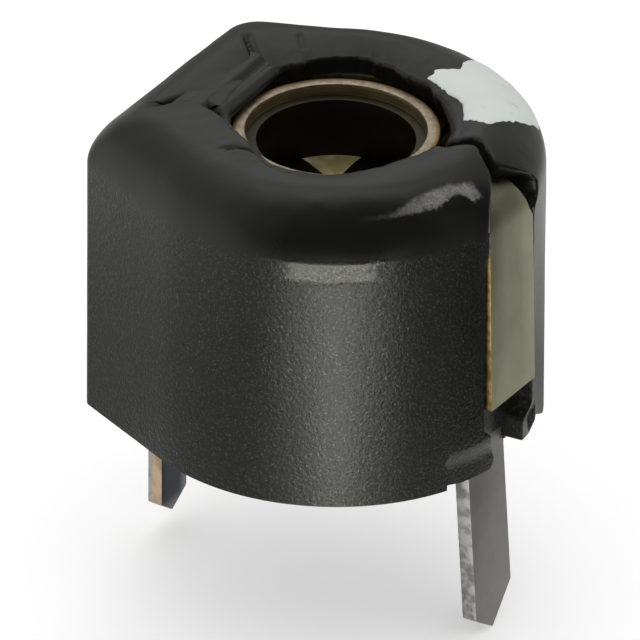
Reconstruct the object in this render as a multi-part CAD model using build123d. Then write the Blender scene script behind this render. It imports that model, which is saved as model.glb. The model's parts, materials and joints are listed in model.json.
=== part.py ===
from build123d import *
from math import asin, cos, degrees, radians, sin, tan
import os

# Film-dielectric trimmer capacitor for a printed board, 5.8 mm across, with two flat leads 5.08 mm apart.
# The rotor turns on Z without stops. Z = 0 is the seating plane of the housing on the board.
# +X points from the rotor axis to the grooved side of the housing, and the flat back faces -X.
# All sizes are in millimetres and degrees.

# Housing outline and rim
body_radius = 2.9
flat_angle = 66.0
corner_radius = 0.15
fold_radius = 0.80
wall = 0.60
floor_thickness = 1.30
lip_clearance = 0.16
lip_thickness = 0.31
lip_drop = 0.08
lip_edge_radius = 0.14

# Terminals, blanked from one gauge of tinned brass sheet
sheet = 0.23
lead_pitch = 5.08
front_plate_width = 1.14
front_plate_inset = 0.02
joggle_cover = 0.04
front_bend_radius = 0.42
joggle_bend_radius = 0.13
front_lead_width = 0.94
front_lead_length = 2.74
front_lead_splay = 3.8
rear_lead_width = 0.66
rear_lead_length = 2.52
rear_plate_inset = 0.06
rear_plate_above_stack = 0.10
lead_point_share = 0.44
front_point_angles = (34.0, 44.0)
rear_point_angles = (36.0, 32.0)
groove_clearance = 0.03

# Stack of plates and films
plate_count = 4
plate = 0.12
film = 0.06
running_gap = 0.04
stack_side_clearance = 0.03
stator_rim = 0.15
stator_hub_clearance = 0.14
stator_tab_width = 0.36
slit_clearance = 0.01
film_edge_clearance = 0.04
film_hub_clearance = 0.08
rotor_plate_edge_clearance = 0.10
rotor_spacer_wall = 0.18
rotor_rest_angle = 205.0

# Rotor, turned from brass
arbor_radius = 0.62
arbor_flat_depth = 0.12
arbor_fit = 0.01
journal_radius = 0.45
journal_length = 0.55
journal_clearance = 0.03
hub_gap = 0.11
hub_step = 0.04
flange_clearance = 0.13
flange_width = 0.49
flange_thickness = 0.25
head_wall = 0.18
head_recess = 0.29
mouth_depth = 0.16
mouth_ledge = 0.16
well_floor_thickness = 0.47
well_cone_drop = 0.14
driver_slot_end_gap = 0.04
driver_slot_width = 0.34
driver_slot_depth = 0.34
driver_slot_angle = 72.7
edge_break = 0.03

# Thrust washer, contact spring and pressure ring
washer = 0.05
washer_clearance = 0.01
spring = 0.08
spring_drop = 0.24
spring_finger_count = 6
spring_slit = 0.16
spring_head_gap = 0.12
spring_overhang = 0.11
spring_contact_gap = 0.01
ring_wall = 0.21
ring_height = 1.21
terminal_ring_setback = 0.12

# Creases that folding the hot rim leaves: angle, reach from the lip, width and depth at the lip
creases = (
    (149.0, 0.75, 0.16, 0.20),
    (134.0, 0.50, 0.10, 0.12),
    (198.0, 0.85, 0.18, 0.20),
    (239.0, 0.40, 0.18, 0.16),
)
rim_split = 0.12

# Recess and staked lugs at the foot of the groove
recess_depth = 0.36
recess_width = 1.20
lug_reach = 0.11
lug_foot = 0.10
lug_height = 0.46
lug_angle = 25.5
lug_setback = 0.07

# Colour code dot, a brushed patch of paint. Its outline gives the way from lip to wall, and the angle
paint = 0.03
paint_outline = (
    (0.05, 36),
    (0.14, 60),
    (0.09, 71),
    (0.54, 76),
    (0.63, 68),
    (1.23, 64),
    (1.23, 33),
    (0.46, 33),
)

# How far the cuts reach past the outside of the housing
cut_margin = 1.0

# Sizes that follow from the ones above
cavity_radius = body_radius - wall
stack_radius = cavity_radius - stack_side_clearance
ring_bore_radius = stack_radius - ring_wall
flange_radius = ring_bore_radius - flange_clearance
head_radius = flange_radius - flange_width
hub_radius = head_radius - hub_step
lip_radius = head_radius + lip_clearance
layer_pitch = 2 * (plate + film + running_gap)
stack_top = floor_thickness + (plate_count - 1) * layer_pitch + plate
ring_top = stack_top + ring_height
ceiling_z = ring_top + spring + sheet
lip_height = ceiling_z + lip_thickness
rim_height = lip_height + lip_drop
wall_height = rim_height - fold_radius
rotor_spacer_radius = arbor_radius + rotor_spacer_wall
stator_inner_radius = rotor_spacer_radius + stator_hub_clearance
film_hole_radius = rotor_spacer_radius + film_hub_clearance
stator_opening_radius = stack_radius - stator_rim
film_radius = stator_opening_radius - film_edge_clearance
rotor_plate_radius = stator_opening_radius - rotor_plate_edge_clearance
rotor_stack_foot = floor_thickness + washer + washer_clearance
hub_foot = stack_top + hub_gap
flange_top = ring_top - spring_drop
head_top = rim_height - head_recess
mouth_radius = head_radius - head_wall
well_radius = mouth_radius - mouth_ledge
well_floor = hub_foot + well_floor_thickness
driver_slot_length = 2 * (well_radius - driver_slot_end_gap)
spring_inner_radius = head_radius + spring_head_gap
spring_fold_radius = ring_bore_radius - spring_overhang
terminal_ring_inner_radius = lip_radius + terminal_ring_setback
front_plate_foot = floor_thickness - joggle_cover - sheet
rear_plate_x = -(body_radius - rear_plate_inset - sheet / 2)
front_lead_x = rear_plate_x + lead_pitch
front_plate_x = body_radius - front_plate_inset - sheet / 2
terminal_arm_z = ceiling_z - sheet / 2
joggle_z = front_plate_foot + sheet / 2
rear_plate_top = stack_top + rear_plate_above_stack


def polar(radius, angle):
    """Point in plan at a radius and an angle from +X."""
    return Vector(radius * cos(radians(angle)), radius * sin(radians(angle)))


def rim_profile(radius, fold):
    """Section of the housing from its axis to its wall, with the rim folded in by a quarter circle."""
    top = wall_height + fold
    sides = Polyline((radius - fold, top), (0, top), (0, 0), (radius, 0), (radius, wall_height))
    return Plane.XZ * make_face(sides + RadiusArc((radius, wall_height), (radius - fold, top), -fold))


def housing_blank(grow=0.0):
    """Outside of the housing, filled solid: round in front, with three flats tangent to it at the back."""
    radius = body_radius + grow
    profile = rim_profile(radius, fold_radius + grow)
    shape = Rot(0, 0, flat_angle - 180) * revolve(profile, Axis.Z, 360 - 2 * flat_angle)
    reach = 2 * radius
    wedge = make_face(Polyline((0, 0), (reach, 0), (reach, reach * tan(radians(flat_angle / 2))), (0, 0)))
    left = extrude(profile, -reach) & extrude(wedge, rim_height + grow)
    right = mirror(left, about=Plane.XZ)
    for turn, piece in ((180 - flat_angle, left), (180, right), (180, left), (180 + flat_angle, right)):
        shape += Rot(0, 0, turn) * piece
    upright = shape.edges().filter_by(Axis.Z)
    return fillet(upright, corner_radius + grow)


def lip_space(grow=0.0):
    """Everything above the folded lip and inside its opening, as a solid of revolution."""
    top = lip_height + grow
    inner = lip_radius - grow
    outer = body_radius - fold_radius
    edge = lip_edge_radius
    profile = Polyline(
        (inner + edge, top),
        (outer, rim_height + grow),
        (outer, rim_height + cut_margin),
        (0, rim_height + cut_margin),
        (0, floor_thickness),
        (inner, floor_thickness),
        (inner, top - edge),
    )
    rounding = RadiusArc((inner, top - edge), (inner + edge, top), edge)
    return revolve(Plane.XZ * make_face(profile + rounding), Axis.Z)


def cavity():
    """Round chamber for the stack, with a bearing hole for the rotor in its floor."""
    chamber = disc(cavity_radius, None, floor_thickness, ceiling_z - floor_thickness)
    hole_depth = journal_length + journal_clearance
    return chamber + disc(journal_radius + journal_clearance, None, floor_thickness - hole_depth, hole_depth)


def block(x_low, x_high, width, z_low, z_high):
    """Box centred on Y = 0."""
    return Pos((x_low + x_high) / 2, 0, (z_low + z_high) / 2) * Box(x_high - x_low, width, z_high - z_low)


def front_groove():
    """Groove in the wall for the front terminal. The two ends of the rim close over it and leave a split."""
    half = front_plate_width / 2 + groove_clearance
    split = rim_split / 2
    bottom = front_plate_foot
    top = rim_height + cut_margin
    window = Polyline(
        (-half, bottom),
        (half, bottom),
        (half, wall_height - 0.5 * sheet),
        (half - 0.5 * sheet, wall_height + 0.5 * sheet),
        (split, ceiling_z),
        (split, top),
        (-split, top),
        (-2 * split, ceiling_z),
        (sheet - half, ceiling_z - 0.5 * sheet),
        (-half, wall_height + 0.5 * sheet),
        (-half, bottom),
    )
    floor_x = front_plate_x - sheet / 2
    opening = Pos(floor_x, 0, 0) * extrude(Plane.YZ * make_face(window), body_radius)
    return opening + block(0, floor_x, rim_split, ceiling_z, top)


def front_recess():
    """Recess under the groove where the lead comes down, narrowed near the board by two staked lugs."""
    back = body_radius - recess_depth
    outside = body_radius + cut_margin
    space = block(back, outside, recess_width, 0, front_plate_foot)
    lug_block = Box(outside - back, lug_reach, lug_height, align=(Align.MIN, Align.MAX, Align.MIN))
    lug = Pos(back, recess_width / 2, 0) * lug_block
    lug = fillet(lug.edges().filter_by(Axis.X).group_by(Axis.Y)[0].group_by(Axis.Z)[-1], 0.8 * lug_reach)
    throat = recess_width - 2 * lug_reach
    return space - lug - mirror(lug, about=Plane.XZ) + block(front_lead_x, outside, throat, 0, lug_foot)


def lug_relief():
    """Layers taken off the outside and the underside of the lugs, which stand clear of wall and board."""
    outside = body_radius + cut_margin
    skin = disc(outside, body_radius - lug_setback, 0, lug_height)
    foot = disc(outside, None, 0, lug_foot)
    foot -= block(-body_radius, body_radius - recess_depth, 4 * body_radius, 0, lug_foot)
    far = polar(2 * body_radius, lug_angle)
    sector = extrude(make_face(Polyline((0, 0), (far.X, -far.Y), (far.X, far.Y), (0, 0))), lug_height)
    return (skin + foot) & sector


def crease(angle, reach, width, depth):
    """Notch with a V section that starts at the lip and runs out on the rim."""
    length = reach + lip_edge_radius
    tilt = degrees(asin(depth / length))
    section = make_face(Polyline((-width / 2, 0), (0, -depth), (width / 2, 0), (0, depth), (-width / 2, 0)))
    notch = extrude(Plane.YZ * section, -length - lip_radius / 2)
    start = Pos(lip_radius + reach, 0, lip_height + lip_drop / 2 + depth)
    return Rot(0, 0, angle) * start * Rot(0, -tilt, 0) * notch


def rear_slot():
    """Slot in the flat back for the rear terminal, with a window through the wall for the stator tabs."""
    slot_floor = rear_plate_x + sheet / 2
    slot_width = rear_lead_width + 2 * groove_clearance
    slot = block(-body_radius - cut_margin, slot_floor, slot_width, 0, rear_plate_top + groove_clearance)
    tab_width = stator_tab_width + 2 * groove_clearance
    window_top = stack_top + groove_clearance
    return slot + block(slot_floor, -stator_opening_radius, tab_width, floor_thickness, window_top)


def housing():
    """Moulded cup of black plastic. A hot tool folds its rim in over the stack and the front terminal."""
    shape = housing_blank() - cavity() - lip_space() - front_groove() - front_recess()
    shape -= lug_relief() + rear_slot()
    for angle, reach, width, depth in creases:
        shape -= crease(angle, reach, width, depth)
    return shape - front_strip()


def strip(points, radii, width):
    """Flat strip of sheet along a bent path in the XZ plane."""
    path = Plane.XZ * (FilletPolyline(*points, radius=radii) if radii else Line(*points))
    section = Plane(origin=path @ 0, x_dir=(0, 1, 0), z_dir=path % 0) * Rectangle(width, sheet)
    return sweep(section, path=path)


def lead_point(x, width, z_tip, angles):
    """Waste cut away to leave an off-centre point on the end of a lead, with its own angle on each side."""
    apex_y = (lead_point_share - 0.5) * width
    low_rise = width * tan(radians(angles[0]))
    high_rise = width * tan(radians(angles[1]))
    cut = Polyline(
        (apex_y, z_tip),
        (apex_y + width, z_tip + high_rise),
        (apex_y + width, z_tip - width),
        (apex_y - width, z_tip - width),
        (apex_y - width, z_tip + low_rise),
        (apex_y, z_tip),
    )
    return Pos(x - width, 0, 0) * extrude(Plane.YZ * make_face(cut), 2 * width)


def front_strip():
    """Bent strip of the front terminal: arm, plate in the groove, joggle through the floor, and lead."""
    arm = [
        (stack_radius - sheet, terminal_arm_z),
        (front_plate_x, terminal_arm_z),
        (front_plate_x, front_plate_foot),
    ]
    shape = strip(arm, [front_bend_radius], front_plate_width)
    splay_top = -sheet / 2
    splayed_x = front_lead_x + (front_lead_length + splay_top) * tan(radians(front_lead_splay))
    plate_face = front_plate_x + sheet / 2
    lead = [
        (plate_face, joggle_z),
        (front_lead_x, joggle_z),
        (front_lead_x, splay_top),
        (splayed_x, -front_lead_length),
    ]
    shape += strip(lead, [joggle_bend_radius, 2 * sheet], front_lead_width)
    return shape - lead_point(splayed_x, front_lead_width, -front_lead_length, front_point_angles)


def front_terminal():
    """Rotor terminal: a ring clamped on top of the stack, with the bent strip."""
    return disc(stack_radius, terminal_ring_inner_radius, ceiling_z - sheet, sheet) + front_strip()


def rear_terminal():
    """Stator terminal: a straight strip in the back slot, pierced for the tabs, with the rear lead."""
    ends = ((rear_plate_x, rear_plate_top), (rear_plate_x, -rear_lead_length))
    shape = strip(ends, None, rear_lead_width)
    shape -= lead_point(rear_plate_x, rear_lead_width, -rear_lead_length, rear_point_angles)
    for number in range(plate_count):
        low = stator_z(number) - slit_clearance
        high = low + plate + 2 * slit_clearance
        slit_width = stator_tab_width + 2 * slit_clearance
        shape -= block(rear_plate_x - sheet, rear_plate_x + sheet, slit_width, low, high)
    return shape


def stator_z(number):
    """Underside of a stator plate, counted from 0 at the floor."""
    return floor_thickness + number * layer_pitch


def rotor_z(number):
    """Underside of a rotor plate. It runs midway between two stator plates."""
    return stator_z(number) + layer_pitch / 2


def disc(outer, inner, z, thickness):
    """Flat ring lying at a height."""
    face = Circle(outer) - Circle(inner) if inner else Circle(outer)
    return Pos(0, 0, z) * extrude(face, thickness)


def half_plane(radius):
    """Half disc on the -X side, in plan."""
    return Circle(radius) & (Pos(-radius / 2, 0) * Rectangle(radius, 2 * radius))


def stator_plate(number):
    """Brass plate: a full rim, a half disc facing the rotor plates, and a tab through the rear terminal."""
    face = Circle(stack_radius) - Circle(stator_opening_radius)
    face += half_plane(stack_radius) - Circle(stator_inner_radius)
    tab_end = rear_plate_x - sheet / 2
    tab_length = -tab_end - stator_opening_radius
    face += Pos(tab_end + tab_length / 2, 0) * Rectangle(tab_length, stator_tab_width)
    return Pos(0, 0, stator_z(number)) * extrude(face, plate)


def stator_spacer(number):
    """Brass ring that holds two stator plates apart."""
    low = stator_z(number) + plate
    return disc(stack_radius, stator_opening_radius, low, layer_pitch - plate)


def film_disc(number):
    """Dielectric film. Each space between stator plates has one on its floor and one under its roof."""
    space, upper = divmod(number, 2)
    low = stator_z(space) + plate if not upper else stator_z(space + 1) - film
    return disc(film_radius, film_hole_radius, low, film)


def arbor_face(fit):
    """Section of the arbor, a circle with two flats."""
    across_flats = 2 * (arbor_radius - arbor_flat_depth + fit)
    return Circle(arbor_radius + fit) & Rectangle(4 * arbor_radius, across_flats)


def rotor_plate(number):
    """Half disc of brass with a hub that fits the arbor."""
    face = half_plane(rotor_plate_radius) + Circle(rotor_spacer_radius) - arbor_face(arbor_fit)
    return Rot(0, 0, rotor_rest_angle) * Pos(0, 0, rotor_z(number)) * extrude(face, plate)


def rotor_spacer(number):
    """Brass washer on the arbor. The first lies under the lowest rotor plate, the last over the highest."""
    low = rotor_stack_foot if number == 0 else rotor_z(number - 1) + plate
    high = hub_foot if number == plate_count - 1 else rotor_z(number)
    face = Circle(rotor_spacer_radius) - arbor_face(arbor_fit)
    return Rot(0, 0, rotor_rest_angle) * Pos(0, 0, low) * extrude(face, high - low)


def rotor_spindle():
    """Turned brass spindle: journal, flatted arbor, hub, contact flange, hollow head with a cross slot."""
    journal_foot = floor_thickness - journal_length
    journal = disc(journal_radius, None, journal_foot, rotor_stack_foot - journal_foot)
    arbor = Pos(0, 0, rotor_stack_foot) * extrude(arbor_face(0), hub_foot - rotor_stack_foot)
    hub = Polyline(
        (0, hub_foot),
        (hub_radius, hub_foot),
        (hub_radius, flange_top - flange_thickness),
        (flange_radius, flange_top - flange_thickness),
        (flange_radius, flange_top),
        (head_radius, flange_top),
        (head_radius, head_top - edge_break),
        (head_radius - edge_break, head_top),
        (mouth_radius, head_top),
        (mouth_radius, head_top - mouth_depth),
        (well_radius, head_top - mouth_depth),
        (well_radius, well_floor),
        (0, well_floor - well_cone_drop),
        (0, hub_foot),
    )
    head = revolve(Plane.XZ * make_face(hub), Axis.Z)
    slot = Rectangle(driver_slot_length, driver_slot_width)
    slots = Rot(0, 0, driver_slot_angle) * slot + Rot(0, 0, driver_slot_angle + 90) * slot
    head -= Pos(0, 0, well_floor - driver_slot_depth) * extrude(slots, driver_slot_depth + well_cone_drop)
    return Rot(0, 0, rotor_rest_angle) * (journal + arbor) + head


def thrust_washer():
    """Slippery washer that the rotor stack runs on."""
    return disc(rotor_spacer_radius, journal_radius + journal_clearance, floor_thickness, washer)


def pressure_ring():
    """Insulating ring that carries the rim's clamping force down to the stator plates."""
    return disc(stack_radius, ring_bore_radius, stack_top, ring_height)


def contact_spring():
    """Dished bronze washer, slit into fingers that press on the rotor's flange."""
    touch = flange_top + spring_contact_gap
    profile = Polyline(
        (stack_radius, ring_top),
        (stack_radius, ring_top + spring),
        (spring_fold_radius, ring_top + spring),
        (spring_inner_radius, touch + spring),
        (spring_inner_radius, touch),
        (spring_fold_radius, ring_top),
        (stack_radius, ring_top),
    )
    shape = revolve(Plane.XZ * make_face(profile), Axis.Z)
    slit_length = spring_fold_radius - spring_inner_radius
    slit = Box(2 * slit_length, spring_slit, 4 * spring_drop)
    centre = Pos(spring_fold_radius - slit_length, 0, ring_top)
    for number in range(spring_finger_count):
        shape -= Rot(0, 0, number * 360 / spring_finger_count) * centre * slit
    return shape


def colour_dot():
    """Brushed dab of paint on the rim that codes the capacitance range."""
    rim_width = body_radius - lip_radius
    points = [polar(lip_radius + way * rim_width, angle) for way, angle in paint_outline]
    patch = make_face(Spline(points, periodic=True))
    over = Pos(0, 0, wall_height) * extrude(patch, fold_radius + cut_margin)
    return (housing_blank(paint) & over) - housing_blank() - lip_space(paint)


def save(name, shape):
    """Writes one sub-part."""
    export_step(shape, os.path.join("parts", name + ".step"))


os.makedirs("parts", exist_ok=True)
save("housing", housing())
save("colour_dot", colour_dot())
save("front_terminal", front_terminal())
save("rear_terminal", rear_terminal())
save("rotor_spindle", rotor_spindle())
save("thrust_washer", thrust_washer())
save("pressure_ring", pressure_ring())
save("contact_spring", contact_spring())
for level in range(plate_count):
    save(f"stator_plate_{level + 1}", stator_plate(level))
for level in range(plate_count - 1):
    save(f"stator_spacer_{level + 1}", stator_spacer(level))
    save(f"rotor_plate_{level + 1}", rotor_plate(level))
    save(f"film_{2 * level + 1}", film_disc(2 * level))
    save(f"film_{2 * level + 2}", film_disc(2 * level + 1))
for level in range(plate_count):
    save(f"rotor_spacer_{level + 1}", rotor_spacer(level))
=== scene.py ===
import json
from math import atan2, cos, pi, radians, sin, tan

import bmesh
import bpy
import numpy as np
from mathutils import Matrix, Vector


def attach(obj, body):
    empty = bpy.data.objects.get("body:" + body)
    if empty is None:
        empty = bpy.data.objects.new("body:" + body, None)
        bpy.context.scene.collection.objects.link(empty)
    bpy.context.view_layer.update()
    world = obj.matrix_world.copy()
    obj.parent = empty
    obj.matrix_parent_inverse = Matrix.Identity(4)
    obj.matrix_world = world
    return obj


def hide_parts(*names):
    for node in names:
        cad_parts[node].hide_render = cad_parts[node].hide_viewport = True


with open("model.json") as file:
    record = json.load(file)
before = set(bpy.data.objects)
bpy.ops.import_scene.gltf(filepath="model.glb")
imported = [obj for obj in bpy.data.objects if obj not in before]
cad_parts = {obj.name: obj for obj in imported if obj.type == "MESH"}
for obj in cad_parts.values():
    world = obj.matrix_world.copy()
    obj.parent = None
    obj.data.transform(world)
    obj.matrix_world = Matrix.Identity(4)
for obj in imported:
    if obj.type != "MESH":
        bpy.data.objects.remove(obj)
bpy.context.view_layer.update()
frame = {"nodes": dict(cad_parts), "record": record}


# Housing
# One cup of black glass-filled nylon, round in front with three flats at the back. The wall keeps the
# sparkling grain of the mould. The rim is folded in with a hot tool, which leaves it smoother, uneven and
# creased, and its two ends meet in a split over the front terminal.

MM = 0.001

# Outline, folded rim and hollow, with lengths in mm and angles in degrees from the groove
BODY_RADIUS = 2.9
FLAT_ANGLE = 66
HALF_FLAT = radians(FLAT_ANGLE / 2)
WALL_CORNER, RIM_CORNER = 0.15, 0.60
FLAT_HALF = (BODY_RADIUS - WALL_CORNER) * tan(HALF_FLAT)
WALL_TOP = 3.85
FOLD_RADIUS = 0.80
RIM_RADIUS = BODY_RADIUS - FOLD_RADIUS
LIP_HEIGHT, LIP_FOOT = 4.57, 4.27
LIP_UNDERSIDE = 4.39
LIP_RISE = 0.04
LIP_ROUNDING, SHARPER_BACK, SHARPER_LEFT = 0.16, 0.10, 0.06
CAVITY_RADIUS, CAVITY_FLOOR = 2.29, 1.30

# Groove for the front terminal, slot for the rear one, and the staked lugs
GROOVE_HALF = 0.60
GROOVE_EDGE = np.degrees(np.arcsin(GROOVE_HALF / BODY_RADIUS))
PLATE_SEAT_X, RECESS_X, THROAT_X = 2.61, 2.54, 2.46
PLATE_FOOT, THROAT_TOP = 1.03, 0.28
SLOT_HALF, SLOT_FLOOR_HALF, SLOT_FLOOR_X, SLOT_TOP = 0.36, 0.345, -2.62, 2.87
LUG_ANGLES = (-25.5, 14.3)
LUG_SETBACK, LUG_ROOT_X = 0.07, 2.50
LUG_TOP = (0.28, 0.62)
UNDERSIDE_SHARE = 0.86

# Where the tool met the front of the wall at a slant, where the lip is ragged and where its edge is sharper,
# each as the angles over which that begins and ends
SLANTED = ((-98, -76), (-24, -13))
RAGGED = ((40, 60), (165, 190))
SHARP_BACK = ((40, 60), (138, 165))
SHARP_LEFT = ((205, 225), (250, 268))
SLANT = radians(13)
LEAN, LEAN_FROM = 0.02, 3.54

# Distance of the lip's edge from the rotor axis, by angle
LIP = (
    (0, 1.50), (4, 1.50), (9, 1.62), (18, 1.60), (28, 1.58), (42, 1.55), (55, 1.50), (69, 1.53), (77, 1.52),
    (88, 1.51), (97, 1.63), (104, 1.61), (110, 1.71), (115, 1.69), (125, 1.68), (133, 1.63), (141, 1.55),
    (154, 1.56), (169, 1.47), (178, 1.46), (192, 1.46), (203, 1.47), (214, 1.47), (222, 1.44), (230, 1.41),
    (241, 1.39), (251, 1.42), (259, 1.46), (266, 1.54), (276, 1.58), (300, 1.59), (307, 1.54), (318, 1.50),
    (336, 1.44), (348, 1.48), (358, 1.50),
)

# Lines that the fold leaves on the rim, seen in plan, with the depth and width of the line, the height of
# the step across it and how far the step reaches
CREASES = (
    (((-2.28, -1.22), (-2.17, -1.08), (-2.08, -0.90), (-2.00, -0.72), (-1.83, -0.72), (-1.61, -0.76),
      (-1.37, -0.82), (-1.13, -0.92), (-0.98, -1.04)), 0.115, 0.050, 0.016, 0.20),
    (((-0.77, -1.76), (-0.65, -1.57), (-0.48, -1.50), (-0.30, -1.51), (-0.02, -1.66)),
     0.06, 0.05, 0.030, 0.12),
    (((-2.24, 1.20), (-2.07, 1.02), (-1.88, 0.83), (-1.64, 0.60)), 0.085, 0.055, -0.010, 0.15),
    (((-1.60, 1.60), (-1.46, 1.44), (-1.36, 1.33)), 0.030, 0.045, 0.0, 0.10),
)

# Ends of the rim beside the split, as angles by height on the wall and fold, and by radius on the rim
SPLIT_HEIGHTS = (
    (0.10, -7.4, 8.4), (0.18, -6.9, 8.4), (0.30, -8.0, 8.4), (0.40, -8.9, 8.4), (0.50, -9.4, 9.6),
    (0.63, -10.0, 12.0), (0.68, -12.6, 12.0), (3.36, -12.6, 11.94), (3.46, -11.9, 11.94),
    (3.54, -11.1, 11.94), (3.62, -10.7, 11.94), (3.70, -10.5, 11.94), (3.78, -10.4, 14.2),
    (3.87, -10.3, 15.0), (4.03, -9.7, 15.2), (4.16, -8.9, 13.4), (4.30, -6.6, 9.5), (4.42, -3.9, 5.4),
    (4.50, -1.4, 2.2), (4.57, 0.2, 3.0), (4.60, 1.3, 4.6), (4.633, 3.25, 6.7), (4.65, 6.8, 10.2),
)
SPLIT_RADII = ((2.10, 7.2, 10.4), (2.0, 6.6, 10.8), (1.80, 3.9, 9.8), (1.58, 3.0, 10.6))
SPLIT_FOOT = (-9.0, 8.4)
SPLIT_END = 1.72
SPREAD_LEFT, SPREAD_RIGHT = 40, 8

# Rounding of the split's edges: by height on the wall, then on its left and its right over the rim
WALL_ROUNDING = ((3.5, 0.02), (WALL_TOP, 0.06))
RIM_ROUNDING = (0.10, 0.06)

# Depth of the split under the rim's surface, by the way over the rim that rim_surface follows
TRENCH = ((0.0, 0.25), (0.12, 0.36), (0.25, 0.40), (0.33, 0.40), (0.47, 0.20), (0.62, 0.20), (1, 0.18),
          (2, 0.15), (3, 0.10))

# Lowest points of the wall, which the staked lugs leave clear of the board
FOOT = (
    (-180, 0.0), (-25.6, 0.0), (-25.4, 0.06), (-18, 0.01), (-10, 0.0), (-8.2, 0.05), (-7, 0.14), (0, 0.12),
    (8.4, 0.06), (14.3, 0.04), (14.7, 0.32), (22.5, 0.11), (25.4, 0.06), (25.6, 0.0), (180, 0.0),
)

# Heights of the rows of points up the wall, close together at the lugs and where the groove's floor steps
WALL_LEVELS = (
    0.03, 0.07, 0.12, 0.18, 0.25, 0.29, 0.34, 0.40, 0.44, 0.48, 0.52, 0.56, 0.60, 0.64, 0.68, 0.80, 0.95,
    1.015, 1.045, 1.2, 1.5, 1.8, 2.1, 2.4, 2.65, 2.86, 2.88, 3.05, 3.2, 3.3, *np.linspace(3.36, 3.84, 14),
)

# Steps in mm from the groove's edge, and shares across its floor, at which the rows have points
EDGE_STEPS = (0, 0.012, 0.03, 0.055, 0.085, 0.12, 0.16, 0.20)
FLOOR_SHARES = (0.015, 0.15, 0.35, 0.5, 0.65, 0.85, 0.985)


def waves(points, length, seed, count=28):
    """Smooth unevenness of about -1 to 1 over points in mm, made of plane waves of about one length."""
    draw = np.random.default_rng(seed)
    ways = draw.normal(size=(count, 3))
    ways *= (2 * pi / length * draw.uniform(0.7, 1.5, count) / np.linalg.norm(ways, axis=1))[:, None]
    phases = draw.uniform(0, 2 * pi, count)
    return np.sin(points @ ways.T + phases).sum(1) / np.sqrt(2 * count)


def ease(value, low, high):
    """0 below low, 1 above high and a smooth rise between them."""
    share = np.clip((value - low) / (high - low), 0, 1)
    return share * share * (3 - 2 * share)


def table(value, rows, column=1):
    """Value read from one column of a table, along its first column."""
    rows = np.array(sorted(rows))
    return np.interp(value, rows[:, 0], rows[:, column])


def span(value, rise, fall):
    """1 between two stretches, with a smooth rise over the first and a smooth fall over the second."""
    return ease(value, *rise) * (1 - ease(value, *fall))


def cos_of(degrees):
    return np.cos(np.radians(degrees))


def sin_of(degrees):
    return np.sin(np.radians(degrees))


def from_groove(turn):
    """Angles from -180 to 180, with 0 at the groove."""
    return (turn + 180) % 360 - 180


def lip_radius(angle):
    """Radius of the lip's edge at angles in degrees, smoothed over a few degrees and ragged at the back."""
    rows = np.array(LIP)
    smooth = sum(np.interp(angle + d, rows[:, 0], rows[:, 1], period=360) for d in (-4, -2, 0, 2, 4)) / 5
    around = np.stack([cos_of(angle), sin_of(angle), 0 * angle], -1) * 1.6
    ragged = span(angle % 360, *RAGGED)
    smooth += (0.012 + 0.016 * ragged) * waves(around, 0.30, 5)
    return smooth + 0.012 * ragged * waves(around, 0.11, 6)


def outline(stations, inset, corner):
    """Plan points and outward normals of the outline at stations, moved in by an inset."""
    kind, turn, share = stations
    radius = BODY_RADIUS - inset
    normal = np.stack([cos_of(turn), sin_of(turn)], -1)
    tangent = np.stack([-normal[:, 1], normal[:, 0]], -1)
    middle = np.where(turn > 180, 180 + FLAT_ANGLE / 2, 180 - FLAT_ANGLE / 2)
    centre = np.stack([cos_of(middle), sin_of(middle)], -1) * ((radius - corner) / cos(HALF_FLAT))[:, None]
    plain = normal * radius[:, None] + tangent * (share * (radius - corner) * tan(HALF_FLAT))[:, None]
    return np.where((kind == 2)[:, None], centre + normal * corner[:, None], plain), normal


def moved(stations, left, right):
    """Stations with those on the round front moved, so that the rim's two ends lie at the split's edges."""
    kind, turn, share = stations
    signed = from_groove(turn)
    fade_left = np.exp(-np.clip(-GROOVE_EDGE - signed, 0, None) / SPREAD_LEFT) * (signed < 0)
    fade_right = np.exp(-np.clip(signed - GROOVE_EDGE, 0, None) / SPREAD_RIGHT) * (signed > 0)
    shift = (left + GROOVE_EDGE) * fade_left + (right - GROOVE_EDGE) * fade_right
    return kind, np.where(kind == 0, turn + shift, turn), share


def edge_drop(distance, rounding):
    """How far a rounded edge drops at a distance from it."""
    off = np.clip(1 - distance / rounding, 0, 1)
    return rounding * (1 - np.sqrt(1 - off ** 2))


def crease_relief(plan):
    """Height added by the creases at plan points: a dark line with the rim stepped across it."""
    height = np.zeros(len(plan))
    for line, depth, width, step, reach in CREASES:
        line = np.array(line)
        nearest, side, along = np.full(len(plan), np.inf), np.zeros(len(plan)), np.zeros(len(plan))
        for number, (a, b) in enumerate(zip(line[:-1], line[1:])):
            length = np.linalg.norm(b - a)
            way = (b - a) / length
            reached = np.clip((plan - a) @ way, 0, length)
            off = plan - a - reached[:, None] * way
            distance = np.linalg.norm(off, axis=1)
            closer = distance < nearest
            nearest = np.where(closer, distance, nearest)
            side = np.where(closer, np.sign(way[1] * off[:, 0] - way[0] * off[:, 1]), side)
            along = np.where(closer, (number + reached / length) / (len(line) - 1), along)
        fade = ease(along, 0, 0.2) * 0.7 + 0.3
        height -= depth * fade * np.exp(-(nearest / width) ** 2)
        ends = span(along, (0, 0.3), (0.7, 1))
        height += step * ends * np.tanh(side * nearest / width) * np.exp(-nearest / reach)
    return height


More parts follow.
